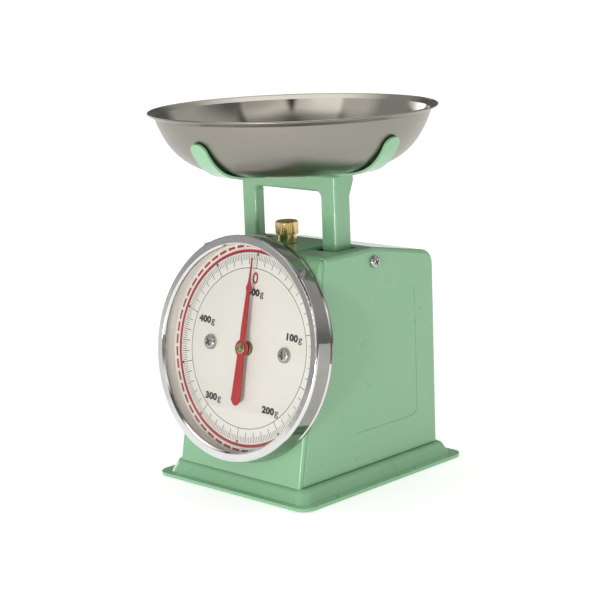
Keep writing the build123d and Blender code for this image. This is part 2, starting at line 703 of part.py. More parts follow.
def support_frame():
    """Inverted U in channel section; its legs pass down through the body's slots."""
    t = FRAME_SHEET
    high = FRAME_TOP_Z
    low = LEG_LOW_Z
    deep = TOP_REAR_Y + 1.0 - LEG_FRONT_Y

    def u_shape(grow):
        """Outline of the U, its sheet edges moved into the metal by an amount."""
        outer = Pos(0, (high + low) / 2 - grow / 2) * Rectangle(2 * (LEG_OUTER_X - grow), high - grow - low)
        outer = fillet(outer.vertices().group_by(Axis.Y)[-1], 1.2)
        hole_top = WINDOW_TOP_Z + grow
        hole = Pos(0, (hole_top + low) / 2 - 5) * Rectangle(2 * (LEG_INNER_X + grow), hole_top - low + 10)
        hole = fillet(hole.vertices().group_by(Axis.Y)[-1], WINDOW_R + grow)
        return outer - hole

    face_plane = Plane(origin=(0, LEG_FRONT_Y, 0), x_dir=(1, 0, 0), z_dir=(0, -1, 0))
    block = extrude(face_plane * u_shape(0), amount=-deep)
    front = block.faces().sort_by(Axis.Y)[0]
    block = fillet(front.edges().filter_by(lambda e: e.center().Z > low + 0.5), FRAME_BEND_R)
    core_plane = Plane(origin=(0, LEG_FRONT_Y + t, 0), x_dir=(1, 0, 0), z_dir=(0, -1, 0))
    core = extrude(core_plane * u_shape(t), amount=-deep - 5)
    for side in (-1, 1):
        core += side_box(side, LEG_INNER_X + t, LEG_OUTER_X - t, LEG_FRONT_Y + t, 20, low - 5, low + 5)
    core_front = core.faces().sort_by(Axis.Y)[0]
    core = fillet(core_front.edges().filter_by(lambda e: e.center().Z > low + 1), FRAME_BEND_R - t)
    frame = block - core
    trim = make_face(Polyline(
        (LEG_REAR_Y, low - 5), (LEG_REAR_Y, 139.5), (TOP_REAR_Y + 0.4, 146.5), (TOP_REAR_Y, high + 2),
        (30, high + 2), (30, low - 5), close=True))
    frame -= extrude(Plane.YZ * trim, amount=60, both=True)
    inner_x = LEG_INNER_X + t + 0.5
    frame -= box(-inner_x, inner_x, INNER_FLANGE_Y, 30, 104.0, high - t - 0.6)
    for z in (LOWER_ROD_Z, UPPER_ROD_Z):
        frame -= rod_x(ROD_R, -40, 40, FRONT_ROD_Y, z)
    for side in (-1, 1):
        frame -= rod_z(SUPPORT_RIVET_R, 140, 160, side * SUPPORT_RIVET_X, 0)
        frame -= side_rod(side, BAR_RIVET_R, 10, 24, BAR_RIVET_Y, BAR_RIVET_Z)
    return frame


def cross_bar():
    """Plate between the legs that the springs pull on, with turned-up ends."""
    half = LEG_INNER_X
    bar = box(-half, half, -12.0, 3.2, CROSSBAR_Z, CROSSBAR_Z + CROSSBAR_THICK)
    for side in (-1, 1):
        bar += side_box(side, half - BAR_END_THICK, half, -5.2, 3.8, CROSSBAR_Z, 54.0)
        bar -= side_rod(side, BAR_RIVET_R, 10, 24, BAR_RIVET_Y, BAR_RIVET_Z)
        bar -= rod_z(1.2, 30, 45, side * SPRING_X, ZERO_Y)
    bar -= rod_x(ROD_R, -40, 40, FRONT_ROD_Y, LOWER_ROD_Z)
    return bar - rod_z(1.0, 30, 50, RACK_SCREW_X, RACK_SCREW_Y)


def cross_bar_rivets():
    """Rivets through the bar's turned-up ends and the legs."""
    rivets = []
    for side in (-1, 1):
        near = LEG_INNER_X - BAR_END_THICK
        far = LEG_INNER_X + FRAME_SHEET
        rivet = side_rod(side, BAR_RIVET_R, near, far, BAR_RIVET_Y, BAR_RIVET_Z)
        rivet += side_rod(side, 2.6, near - 1.2, near, BAR_RIVET_Y, BAR_RIVET_Z)
        rivet += side_rod(side, 1.9, far, far + 0.9, BAR_RIVET_Y, BAR_RIVET_Z)
        rivets.append(rivet)
    return Compound(children=rivets)


def pan_support():
    """Flat hub plate with four strip arms that curve up round the bowl."""
    t = ARM_SHEET
    plate = Pos(0, 0.3) * RectangleRounded(2 * LEG_OUTER_X - 0.6, 12.4, 1.5)
    plate = extrude(plate, amount=t)
    z_mid = t / 2
    path = Line((0, z_mid), (ARM_BEND_START, z_mid)) + Spline(
        (ARM_BEND_START, z_mid), (45.2, z_mid + 1.4), (51.0, z_mid + 3.5), (55.6, z_mid + 6.6),
        (59.4, z_mid + 10.6), (62.0, z_mid + 14.6), (64.2, z_mid + 18.8),
        tangents=((1, 0), (0.45, 0.89)))
    section = Plane(origin=(0, 0, z_mid), x_dir=(0, 1, 0), z_dir=(1, 0, 0)) * Rectangle(ARM_WIDTH, t)
    arm = sweep(section, path=Plane.XZ * path)
    tip = arm.faces().sort_by(Axis.Z)[-1]
    arm = fillet(tip.edges().filter_by(lambda e: e.length < 2 * t), ARM_TIP_R)
    spider = plate
    for turn in range(4):
        spider += Rot(0, 0, 90 * turn) * arm
    for side in (-1, 1):
        spider -= Pos(side * SUPPORT_RIVET_X, 0, 0) * Cylinder(SUPPORT_RIVET_R, 10)
    return Pos(0, 0, FRAME_TOP_Z) * spider


def support_rivets():
    """Flush rivets joining the pan support to the frame."""
    rivets = []
    for side in (-1, 1):
        x = side * SUPPORT_RIVET_X
        rivet = rod_z(SUPPORT_RIVET_R, FRAME_TOP_Z - FRAME_SHEET, PAN_BOTTOM_Z, x, 0)
        rivet += rod_z(3.2, FRAME_TOP_Z - FRAME_SHEET - 1.1, FRAME_TOP_Z - FRAME_SHEET, x, 0)
        rivets.append(rivet)
    return Compound(children=rivets)


def lever_rod(y, z, half):
    """Plain steel rod across the frame."""
    return rod_x(ROD_R, -half, half, y, z)


def rod_clips():
    """Push-on washers at the ends of the two fixed rods."""
    clips = []
    x0 = EAR_X + INNER_SHEET
    for z in (LOWER_ROD_Z - LEVER_DROP, UPPER_ROD_Z - LEVER_DROP):
        for side in (-1, 1):
            clip = side_rod(side, 2.8, x0, x0 + 0.7, REAR_ROD_Y, z)
            clips.append(clip - side_rod(side, ROD_R, 10, 30, REAR_ROD_Y, z))
    return Compound(children=clips)


def guide_lever(front_z):
    """Two flat arms joined by a web; round hole at the fixed rod, slot at the moving rod."""
    far = LEVER_REACH
    arm = Pos(far / 2, 0) * RectangleRounded(far + LEVER_TALL, LEVER_TALL, LEVER_TALL / 2 - 0.05)
    arm -= Circle(ROD_R + 0.05)
    arm -= Pos(far + 0.25, 0) * SlotOverall(2 * ROD_R + 1.3, 2 * ROD_R + 0.14)
    pivot_z = front_z - LEVER_DROP
    side_plane = Plane(origin=(0, REAR_ROD_Y, pivot_z), x_dir=(0, -1, 0), z_dir=(1, 0, 0))
    half = LEVER_THICK / 2
    lever = box(-LEVER_X, LEVER_X, REAR_ROD_Y - 28, REAR_ROD_Y - 8, pivot_z - half, pivot_z + half)
    for side in (-1, 1):
        lever += extrude(side_plane.offset(side * LEVER_X - half) * arm, amount=LEVER_THICK)
    pivot = Axis((0, REAR_ROD_Y, pivot_z), (1, 0, 0))
    return lever.rotate(pivot, -LEVER_ANGLE)


# ---------------------------------------------------------------- springs and zero adjuster

def spring(x):
    """Close-wound pull spring."""
    tall = SPRING_HIGH_Z - SPRING_LOW_Z
    path = Helix(pitch=tall / SPRING_TURNS, height=tall, radius=SPRING_COIL_R)
    section = Plane(origin=path @ 0, z_dir=path % 0) * Circle(WIRE_R)
    coil = sweep(section, path=path, is_frenet=True)
    return Pos(x, ZERO_Y, SPRING_LOW_Z) * coil


def lower_plugs():
    """Plugs on the cross bar that the springs' bottom coils grip."""
    top = CROSSBAR_Z + CROSSBAR_THICK
    plugs = []
    for side in (-1, 1):
        plug = rod_z(3.1, top, top + 6.0, side * SPRING_X, ZERO_Y)
        plug += rod_z(1.2, CROSSBAR_Z - 0.8, top, side * SPRING_X, ZERO_Y)
        plug += rod_z(2.2, CROSSBAR_Z - 0.8, CROSSBAR_Z, side * SPRING_X, ZERO_Y)
        plugs.append(plug)
    return Compound(children=plugs)


def upper_plugs():
    """Plugs on the hanger that the springs' top coils grip."""
    plugs = []
    for side in (-1, 1):
        plug = rod_z(3.1, HANGER_LOW_Z - 6.0, HANGER_LOW_Z, side * SPRING_X, ZERO_Y)
        plug += rod_z(1.2, HANGER_LOW_Z, HANGER_HIGH_Z + 0.8, side * SPRING_X, ZERO_Y)
        plug += rod_z(2.2, HANGER_HIGH_Z, HANGER_HIGH_Z + 0.8, side * SPRING_X, ZERO_Y)
        plugs.append(plug)
    return Compound(children=plugs)


def hanger_bar():
    """Bar carried by the zero screw; both springs hang from it."""
    bar = box(-14.5, 14.5, ZERO_Y - 3.6, ZERO_Y + 3.6, HANGER_LOW_Z, HANGER_HIGH_Z)
    bar = fillet(bar.edges().filter_by(Axis.Z), 2.0)
    bar -= rod_z(ZERO_SCREW_R + 0.04, 90, 110, 0, ZERO_Y)
    for side in (-1, 1):
        bar -= rod_z(1.2, 90, 110, side * SPRING_X, ZERO_Y)
    return bar


def zero_knob():
    """Brass knob: knurled head on a plain collar."""
    z0 = BODY_TOP_Z + STRIP_THICK
    collar = rod_z(COLLAR_R, z0 + 0.1, z0 + COLLAR_TALL, 0, ZERO_Y)
    collar = chamfer(collar.edges().sort_by(Axis.Z)[0], 0.3)
    head = rod_z(KNOB_R, z0 + COLLAR_TALL, z0 + COLLAR_TALL + KNURL_TALL, 0, ZERO_Y)
    head = chamfer(head.edges().sort_by(Axis.Z)[-1], 0.6)
    head = chamfer(head.edges().sort_by(Axis.Z)[0], 0.35)
    groove = Pos(KNOB_R + 0.1, 0, 0) * Rot(0, 0, 45) * Box(0.56, 0.56, 20)
    for index in range(KNURL_COUNT):
        head -= Pos(0, ZERO_Y, z0 + 6) * Rot(0, 0, index * 360 / KNURL_COUNT) * groove
    return collar + head - rod_z(ZERO_SCREW_R, z0 - 2, z0 + 7.0, 0, ZERO_Y)


def zero_screw():
    """Long screw from the knob down through the hanger bar."""
    z0 = BODY_TOP_Z + STRIP_THICK
    return rod_z(ZERO_SCREW_R, 91.0, z0 + 7.0, 0, ZERO_Y)


def screw_clip():
    """Ring that keeps the zero screw from lifting."""
    high = INNER_TOP_Z - INNER_SHEET - 0.1
    return rod_z(3.6, high - 1.0, high, 0, ZERO_Y) - rod_z(ZERO_SCREW_R, 100, 120, 0, ZERO_Y)


# ---------------------------------------------------------------- pan

def pan_band(shrink, cap):
    """Half-section curve of the bowl as a closed face down to its axis."""
    r1 = PAN_KNUCKLE_R
    r2 = PAN_WALL_R
    z0 = PAN_BOTTOM_Z
    c1 = (PAN_FLAT_R, z0 + r1)
    turn = math.radians(-30)
    join = (c1[0] + r1 * math.cos(turn), c1[1] + r1 * math.sin(turn))
    c2 = (join[0] - r2 * math.cos(turn), join[1] - r2 * math.sin(turn))
    end = math.radians(-18)
    flat = Line((0, z0 + shrink), (PAN_FLAT_R, z0 + shrink))
    knuckle = CenterArc(c1, r1 - shrink, -90, 60)
    wall = CenterArc(c2, r2 - shrink, -30, 12)
    top = (c2[0] + (r2 - shrink) * math.cos(end), c2[1] + (r2 - shrink) * math.sin(end))
    up = (top[0], cap)
    return flat, knuckle, wall, top, up


def pan():
    """Spun steel bowl with an outward lip and a thin rolled bead."""
    cap = PAN_BOTTOM_Z + 40
    faces = []
    for shrink in (0.0, PAN_SHEET):
        flat, knuckle, wall, top, up = pan_band(shrink, cap)
        side = Line(wall @ 1, (top[0], cap))
        lid = Line((top[0], cap), (0, cap))
        axis = Line((0, cap), (0, PAN_BOTTOM_Z + shrink))
        faces.append(make_face([flat, knuckle, wall, side, lid, axis]))
    band = faces[0] - faces[1]
    rim_z = PAN_BOTTOM_Z + 27.2
    band -= Pos(60, rim_z + 20) * Rectangle(60, 40)
    top = pan_band(0.0, cap)[3]
    bead = (PAN_R - PAN_BEAD_R, FRAME_TOP_Z + 30.1)
    lip = make_face(Polyline(
        (top[0] - 0.62, rim_z - 0.15), (top[0] + 0.02, rim_z - 0.35), (bead[0] + 0.1, bead[1] - 0.5),
        (bead[0] - 0.3, bead[1] + 0.35), close=True))
    section = band + lip + Pos(*bead) * Circle(PAN_BEAD_R)
    return revolve(Plane.XZ * section, Axis.Z, 360)


def main():
    """Write every piece."""
    os.makedirs("parts", exist_ok=True)
    right_screw, left_screw = cover_screws()
    pieces = {
        "base_tray": base_tray(),
        "rubber_feet": rubber_feet(),
        "base_screws": base_screws(),
        "body_cover": body_cover(),
        "front_panel": front_panel(),
        "cover_screw_right": right_screw,
        "cover_screw_left": left_screw,
        "top_strip": top_strip(),
        "inner_frame": inner_frame(),
        "travel_stops": travel_stops(),
        "dial_housing": dial_housing(),
        "dial_plate": dial_plate(),
        "dial_screws": dial_screws(),
        "dial_nuts": dial_nuts(),
        "bezel": bezel(),
        "lens": lens(),
        "lens_gasket": lens_gasket(),
        "pointer": pointer(),
        "pointer_nut": pointer_nut(),
        "pinion_shaft": pinion_shaft(),
        "pinion": pinion(),
        "front_bush": front_bush(),
        "rear_bush": rear_bush(),
        "rack": rack(),
        "rack_screw": rack_screw(),
        "movement_plate": movement_plate(),
        "movement_pillars": movement_pillars(),
        "movement_screws": movement_screws(),
        "support_frame": support_frame(),
        "cross_bar": cross_bar(),
        "cross_bar_rivets": cross_bar_rivets(),
        "pan_support": pan_support(),
        "support_rivets": support_rivets(),
        "lower_front_rod": lever_rod(FRONT_ROD_Y, LOWER_ROD_Z, LEG_OUTER_X),
        "upper_front_rod": lever_rod(FRONT_ROD_Y, UPPER_ROD_Z, LEG_OUTER_X),
        "lower_rear_rod": lever_rod(REAR_ROD_Y, LOWER_ROD_Z - LEVER_DROP, EAR_X + 3.0),
        "upper_rear_rod": lever_rod(REAR_ROD_Y, UPPER_ROD_Z - LEVER_DROP, EAR_X + 3.0),
        "rod_clips": rod_clips(),
        "lower_lever": guide_lever(LOWER_ROD_Z),
        "upper_lever": guide_lever(UPPER_ROD_Z),
        "spring_left": spring(-SPRING_X),
        "spring_right": spring(SPRING_X),
        "lower_plugs": lower_plugs(),
        "upper_plugs": upper_plugs(),
        "hanger_bar": hanger_bar(),
        "zero_knob": zero_knob(),
        "zero_screw": zero_screw(),
        "screw_clip": screw_clip(),
        "pan": pan(),
    }
    for name, shape in pieces.items():
        save(name, shape)


main()
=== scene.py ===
"""Looks of the mint dial scale: finishes on the CAD parts, the printed dial, floor, lights and camera."""
import json
import math

import bmesh
import bpy
from mathutils import Matrix, Vector


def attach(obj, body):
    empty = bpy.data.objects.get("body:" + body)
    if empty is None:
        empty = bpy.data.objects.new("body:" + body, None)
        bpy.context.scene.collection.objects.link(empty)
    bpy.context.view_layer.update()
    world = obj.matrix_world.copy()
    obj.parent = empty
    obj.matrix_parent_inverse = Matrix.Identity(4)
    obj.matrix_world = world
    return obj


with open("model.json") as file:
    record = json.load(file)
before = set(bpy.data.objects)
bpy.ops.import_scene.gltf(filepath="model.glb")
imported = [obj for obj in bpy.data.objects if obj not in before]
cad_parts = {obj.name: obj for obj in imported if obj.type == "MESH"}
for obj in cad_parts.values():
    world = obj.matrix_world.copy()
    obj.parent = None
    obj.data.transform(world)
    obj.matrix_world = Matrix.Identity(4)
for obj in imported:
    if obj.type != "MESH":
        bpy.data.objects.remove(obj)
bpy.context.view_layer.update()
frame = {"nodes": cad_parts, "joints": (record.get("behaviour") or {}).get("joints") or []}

MM = 0.001

# ---- printed dial, millimetres on the dial's own plane ----
PRINT_LIFT = 0.03
INK_THICK = 0.03
BAND_SINK = 0.02
BAND_INNER_R = 38.6
BAND_OUTER_R = 50.9
RED_RING_INNER_R = 46.0
RED_RING_OUTER_R = 47.5
DASH_R = 49.3
DASH_WIDE = 1.2
DASH_COUNT = 50
DASH_SHARE = 0.76
THIN_RING_WIDE = 0.32
TICK_OUTER_R = 45.4
TICK_COUNT = 250
TICKS_PER_MEDIUM = 5
TICKS_PER_LONG = 25
TICK_SHORT = 3.0
TICK_MEDIUM = 5.0
TICK_WIDE = 0.25
TICK_LONG_WIDE = 0.34
DOT_R = 45.3
DOT_SIZE = 1.2
NUMERAL_R = 31.3
LOWER_NUMERAL_R = 33.2
NUMERAL_TALL = 3.6
NUMERAL_WIDEN = 1.16
NUMERAL_BOLD = 0.060
UNIT_TALL = NUMERAL_TALL * 0.92
UNIT_WIDEN = 1.15
UNIT_BOLD = 0.014
UNIT_DROP = 1.0
UNIT_GAP = 0.35
LETTER_SPACING = 1.06
ZERO_R = 34.0
ZERO_TALL = 5.6
ZERO_BOLD = 0.024
FULL_R = 27.2
FULL_SHIFT = 1.2
COARSE_STEP = 2.0
FINE_STEP = 1.5
CAPACITY = 500
NUMERAL_STEP = 100

# ---- camera, metres and degrees ----
CAMERA_PLACE = (0.5821, -0.6004, 0.2591)
CAMERA_AZIMUTH = 44.1
CAMERA_PITCH = 11.71
CAMERA_ROLL = -2.106
CAMERA_LENS = 104.2
SENSOR = 36.0

# ---- colours between which each finish varies ----
ENAMEL_CLOUDS = ((0.256, 0.522, 0.293), (0.283, 0.556, 0.321))
ENAMEL_GRAIN = (0.244, 0.500, 0.280)
ENAMEL_GRAIN_SHARE = 0.40
CHROME_LIP = ((0.70, 0.70, 0.70), (0.78, 0.78, 0.77))
# painted shade: the drum's side wall gets this darker colour in place of the dim reflection it shows
CHROME_WALL_PAINTED_SHADE = ((0.30, 0.29, 0.27), (0.38, 0.37, 0.345))
# painted shade: the bowl's outside, which faces down and out, gets this darker colour
BOWL_OUTSIDE_PAINTED_SHADE = ((0.27, 0.258, 0.222), (0.34, 0.325, 0.285))
BOWL_INSIDE = ((0.42, 0.402, 0.352), (0.48, 0.460, 0.405))
DIAL_CREAM = ((0.615, 0.595, 0.540), (0.655, 0.634, 0.580))
HAND_RED = ((0.30, 0.008, 0.011), (0.38, 0.013, 0.015))
RUBBER_BLACK = ((0.018, 0.018, 0.018), (0.034, 0.034, 0.033))
FLOOR_WHITE = ((0.86, 0.86, 0.86), (0.88, 0.88, 0.88))
BAND_WHITE = ((0.67, 0.655, 0.605), (0.63, 0.615, 0.565))
INK_BLACK = ((0.022, 0.022, 0.022), (0.012, 0.012, 0.012))
INK_RED = ((0.34, 0.006, 0.018), (0.28, 0.004, 0.012))
LENS_TINT = (0.985, 0.99, 0.985, 1.0)

# ---- depths of relief, metres ----
ORANGE_PEEL = 0.00003
CHROME_WAVE = 0.00006
TURNED_RELIEF = 0.000012
RUBBER_RELIEF = 0.00004
FAINT_RELIEF = 0.00001
ROLLED_RELIEF = 0.00002

# ---- plain metals by slot: name, darker and lighter colour, roughness range, grains per metre, relief ----
METALS = {
    "screw_steel": ("nickel_screw", (0.40, 0.39, 0.36), (0.56, 0.55, 0.52),
                    (0.14, 0.26), 900.0, FAINT_RELIEF),
    "plain_steel": ("zinc_steel", (0.42, 0.42, 0.43), (0.56, 0.56, 0.56),
                    (0.30, 0.46), 500.0, ROLLED_RELIEF),
    "nut_brass": ("nut_brass", (0.34, 0.30, 0.17), (0.50, 0.45, 0.28),
                  (0.18, 0.30), 800.0, FAINT_RELIEF),
    # painted shade: this brass is coloured darker for the front bush, which sits in shadow
    "brass": ("gear_brass_painted_shade", (0.20, 0.15, 0.07), (0.30, 0.23, 0.11),
              (0.28, 0.42), 700.0, FAINT_RELIEF),
    "spring_steel": ("spring_steel", (0.36, 0.36, 0.38), (0.50, 0.50, 0.52),
                     (0.24, 0.38), 700.0, FAINT_RELIEF),
    "knob_brass": ("knob_brass", (0.60, 0.45, 0.20), (0.80, 0.63, 0.32),
                   (0.10, 0.22), 900.0, FAINT_RELIEF),
}

# ---- two tones, the darker one painted shade: how the surface is turned where one tone gives way to the other ----
WALL_TURN = (0.02, 0.25)
BOWL_TURN = (-0.15, 0.15)
BOWL_TILT = 0.8
TURNED_SQUEEZE = 0.0012

# ---- studio floor and light, as seen from the object ----
FLOOR_HALF = 30.0
FLOOR_GLOW = 0.50
ROOM_LIGHT = 0.40
ROOM_TINT = (1.0, 0.99, 0.97, 1.0)
CEILING_LIGHT = 1.55
CEILING_EDGE = (0.72, 0.92)

# each patch of the room: direction, half width and half height as tangents, soft edges, then for the first
# three the share of light that is left, and for the others the glow that is added
DARK_FRONT = ((0.46, -0.45, 0.72), 0.80, 0.62, (0.10, 0.10), 0.08)
DARK_BACK = ((-0.70, 0.70, 0.12), 1.10, 0.42, (0.20, 0.14), 0.35)
DIM_RIGHT = ((0.96, 0.10, 0.10), 0.85, 0.60, (0.25, 0.20), 0.42)
PANE_LEFT = ((0.27, -0.83, 0.60), 0.34, 0.24, (0.03, 0.12), 1.0)
PANE_RIGHT = ((0.83, -0.27, 0.60), 0.34, 0.24, (0.03, 0.12), 1.0)
BACK_GLOW = ((0.35, 0.75, 0.58), 0.60, 0.42, (0.20, 0.15), 0.24)
FRONT_GLOW = ((-0.10, -0.90, 0.50), 0.55, 0.26, (0.15, 0.12), 0.40)
LEFT_WINDOW = ((-0.99, 0.05, 0.10), 0.34, 0.12, (0.05, 0.05), 2.4)
LEFT_STRIP = ((-0.866, -0.50, 0.0), 0.24, 0.05, (0.015, 0.02), 0.6)

# ---- low front lamp, metres and watts ----
LAMP_PLACE = (0.22, -0.60, 0.07)
LAMP_TARGET = (0.02, 0.0, 0.09)
LAMP_WIDE = 0.07
LAMP_TALL = 0.13
LAMP_POWER = 1.0


def joint_named(name):
    """The frame's joint of this name."""
    return next(joint for joint in frame["joints"] if joint["name"] == name)


# ---------------------------------------------------------------- node helpers

def start_material(name):
    """New material with its node tree and its shader."""
    material = bpy.data.materials.new(name)
    material.use_nodes = True
    tree = material.node_tree
    return material, tree, tree.nodes["Principled BSDF"]


def object_coordinates(tree):
    """Place of the shaded point in the object's own frame, in metres."""
    return tree.nodes.new("ShaderNodeTexCoord").outputs["Object"]


def noise(tree, vector, scale, detail=2.0, roughness=0.5):
    """Smooth noise from 0 to 1 with this many features per metre."""
    node = tree.nodes.new("ShaderNodeTexNoise")
    node.inputs["Scale"].default_value = scale
    node.inputs["Detail"].default_value = detail
    node.inputs["Roughness"].default_value = roughness
    tree.links.new(vector, node.inputs["Vector"])
    return node.outputs["Fac"]


def spread(tree, factor, low, high, start=0.25, end=0.75):
    """Maps a 0 to 1 factor onto a range of numbers."""
    node = tree.nodes.new("ShaderNodeMapRange")
    node.inputs["From Min"].default_value = start
    node.inputs["From Max"].default_value = end
    node.inputs["To Min"].default_value = low
    node.inputs["To Max"].default_value = high
    tree.links.new(factor, node.inputs["Value"])
    return node.outputs["Result"]


def blend_colours(tree, factor, first, second):
    """Colour between two others, which are tuples or sockets."""
    node = tree.nodes.new("ShaderNodeMix")
    node.data_type = "RGBA"
    tree.links.new(factor, node.inputs["Factor"])
    for socket, colour in ((node.inputs[6], first), (node.inputs[7], second)):
        if isinstance(colour, tuple):
            socket.default_value = (*colour, 1.0)
        else:
            tree.links.new(colour, socket)
    return node.outputs[2]


def calculate(tree, operation, first, second=0.0, third=0.0):
    """One arithmetic step on sockets or numbers."""
    node = tree.nodes.new("ShaderNodeMath")
    node.operation = operation
    for socket, value in zip(node.inputs, (first, second, third)):
        if isinstance(value, (int, float)):
            socket.default_value = value
        else:
            tree.links.new(value, socket)
    return node.outputs[0]


def bump(tree, shader, height, distance):
    """Turns a height into relief of this depth in metres on the shader."""
    node = tree.nodes.new("ShaderNodeBump")
    node.inputs["Strength"].default_value = 1.0
    node.inputs["Distance"].default_value = distance
    tree.links.new(height, node.inputs["Height"])
    tree.links.new(node.outputs["Normal"], shader.inputs["Normal"])


def split(tree, vector):
    """The three parts of a vector."""
    node = tree.nodes.new("ShaderNodeSeparateXYZ")
    tree.links.new(vector, node.inputs["Vector"])
    return node.outputs["X"], node.outputs["Y"], node.outputs["Z"]


def dotted(tree, vector, axis):
    """Length of a vector along a fixed axis."""
    node = tree.nodes.new("ShaderNodeVectorMath")
    node.operation = "DOT_PRODUCT"
    tree.links.new(vector, node.inputs[0])
    node.inputs[1].default_value = axis
    return node.outputs["Value"]


def joined(tree, x, y, z):
    """A vector from three sockets or numbers."""
    node = tree.nodes.new("ShaderNodeCombineXYZ")
    for socket, value in zip(node.inputs, (x, y, z)):
        if isinstance(value, (int, float)):
            socket.default_value = value
        else:
            tree.links.new(value, socket)
    return node.outputs["Vector"]


# ---------------------------------------------------------------- finishes

def green_enamel():
    """Mint stoving enamel: glossy, a little orange peel, faint unevenness in colour."""
    material, tree, shader = start_material("green_enamel")
    place = object_coordinates(tree)
    base = blend_colours(tree, noise(tree, place, 28.0, 3.0), *ENAMEL_CLOUDS)
    grain = spread(tree, noise(tree, place, 1300.0, 2.0), 0.0, ENAMEL_GRAIN_SHARE)
    tree.links.new(blend_colours(tree, grain, base, ENAMEL_GRAIN), shader.inputs["Base Color"])
    tree.links.new(spread(tree, noise(tree, place, 90.0, 3.0), 0.26, 0.34), shader.inputs["Roughness"])
    shader.inputs["Coat Weight"].default_value = 0.6
    shader.inputs["Coat Roughness"].default_value = 0.08
    bump(tree, shader, noise(tree, place, 620.0, 2.0), ORANGE_PEEL)
    return material


def chrome():
    """Bright plating on the drum's lip; its side wall is coloured darker and greyer, as painted shade for
    the dim reflections there.
    """
    material, tree, shader = start_material("chrome")
    place = object_coordinates(tree)
    shader.inputs["Metallic"].default_value = 1.0
    haze = noise(tree, place, 120.0, 4.0)
    lip = blend_colours(tree, haze, *CHROME_LIP)
    # painted shade: the side wall's darker colour, used where the surface turns away from the dial's axis
    wall = blend_colours(tree, haze, *CHROME_WALL_PAINTED_SHADE)
    outward = joint_named("pointer_spin")["axis"]
    normal = tree.nodes.new("ShaderNodeNewGeometry").outputs["Normal"]
    facing = calculate(tree, "ABSOLUTE", dotted(tree, normal, outward))
    flat = spread(tree, facing, 0.0, 1.0, *WALL_TURN)
    tree.links.new(blend_colours(tree, flat, wall, lip), shader.inputs["Base Color"])
    tree.links.new(spread(tree, haze, 0.05, 0.11), shader.inputs["Roughness"])
    bump(tree, shader, noise(tree, place, 70.0, 2.0), CHROME_WAVE)
    return material


def bowl_steel():
    """Stainless bowl: mirror polish inside, fine turned lines and a satin sheen outside, where its colour is
    darker as painted shade.
    """
    material, tree, shader = start_material("bowl_steel")
    place = object_coordinates(tree)
    x, y, z = split(tree, place)
    squares = [calculate(tree, "MULTIPLY", side, side) for side in (x, y)]
    radius = calculate(tree, "SQRT", calculate(tree, "ADD", *squares))
    nx, ny, nz = split(tree, tree.nodes.new("ShaderNodeNewGeometry").outputs["Normal"])
    leans = [calculate(tree, "MULTIPLY", side, lean) for side, lean in ((x, nx), (y, ny))]
    outward = calculate(tree, "DIVIDE", calculate(tree, "ADD", *leans), radius)
    facing_in = calculate(tree, "SUBTRACT", nz, calculate(tree, "MULTIPLY", outward, BOWL_TILT))
    inside = spread(tree, facing_in, 0.0, 1.0, *BOWL_TURN)
    across, along = (calculate(tree, "DIVIDE", side, radius) for side in (x, y))
    turned = joined(tree, calculate(tree, "MULTIPLY", across, TURNED_SQUEEZE),
                    calculate(tree, "MULTIPLY", along, TURNED_SQUEEZE), calculate(tree, "ADD", radius, z))
    lines = noise(tree, turned, 2600.0, 4.0, 0.6)
    cloudy = noise(tree, place, 34.0, 3.0)
    # painted shade: the outside, facing down and out, takes the darker colour; its turned lines are real
    outer = blend_colours(tree, lines, *BOWL_OUTSIDE_PAINTED_SHADE)
    inner = blend_colours(tree, cloudy, *BOWL_INSIDE)
    tree.links.new(blend_colours(tree, inside, outer, inner), shader.inputs["Base Color"])
    shader.inputs["Metallic"].default_value = 1.0
    halves = [calculate(tree, "MULTIPLY", pattern, 0.5) for pattern in (lines, cloudy)]
    rough = tree.nodes.new("ShaderNodeMix")
    tree.links.new(inside, rough.inputs["Factor"])
    tree.links.new(spread(tree, calculate(tree, "ADD", *halves), 0.24, 0.36), rough.inputs["A"])
    tree.links.new(spread(tree, cloudy, 0.06, 0.12), rough.inputs["B"])
    tree.links.new(rough.outputs["Result"], shader.inputs["Roughness"])
    shader.inputs["Anisotropic"].default_value = 0.35
    tangent = tree.nodes.new("ShaderNodeTangent")
    tangent.direction_type = "RADIAL"
    tangent.axis = "Z"
    tree.links.new(tangent.outputs["Tangent"], shader.inputs["Tangent"])
    bump(tree, shader, lines, TURNED_RELIEF)
    return material


def dial_paint():
    """Cream stove paint of the dial, very finely grained."""
    material, tree, shader = start_material("dial_paint")
    place = object_coordinates(tree)
    fine = noise(tree, place, 900.0, 3.0)
    tree.links.new(blend_colours(tree, fine, *DIAL_CREAM), shader.inputs["Base Color"])
    tree.links.new(spread(tree, noise(tree, place, 140.0, 2.0), 0.42, 0.52), shader.inputs["Roughness"])
    bump(tree, shader, noise(tree, place, 1500.0, 2.0), FAINT_RELIEF)
    return material


def ink(name, colour, darker):
    """Screen-printed ink, a little uneven in cover."""
    material, tree, shader = start_material(name)
    place = object_coordinates(tree)
    cover = noise(tree, place, 1400.0, 3.0)
    tree.links.new(blend_colours(tree, cover, darker, colour), shader.inputs["Base Color"])
    tree.links.new(spread(tree, cover, 0.40, 0.55), shader.inputs["Roughness"])
    return material


def clear_lens():
    """Clear plastic window with the faintest handling haze."""
    material, tree, shader = start_material("clear_lens")
    place = object_coordinates(tree)
    shader.inputs["Base Color"].default_value = LENS_TINT
    shader.inputs["Transmission Weight"].default_value = 1.0
    shader.inputs["IOR"].default_value = 1.30
    tree.links.new(spread(tree, noise(tree, place, 60.0, 4.0), 0.0, 0.025), shader.inputs["Roughness"])
    return material


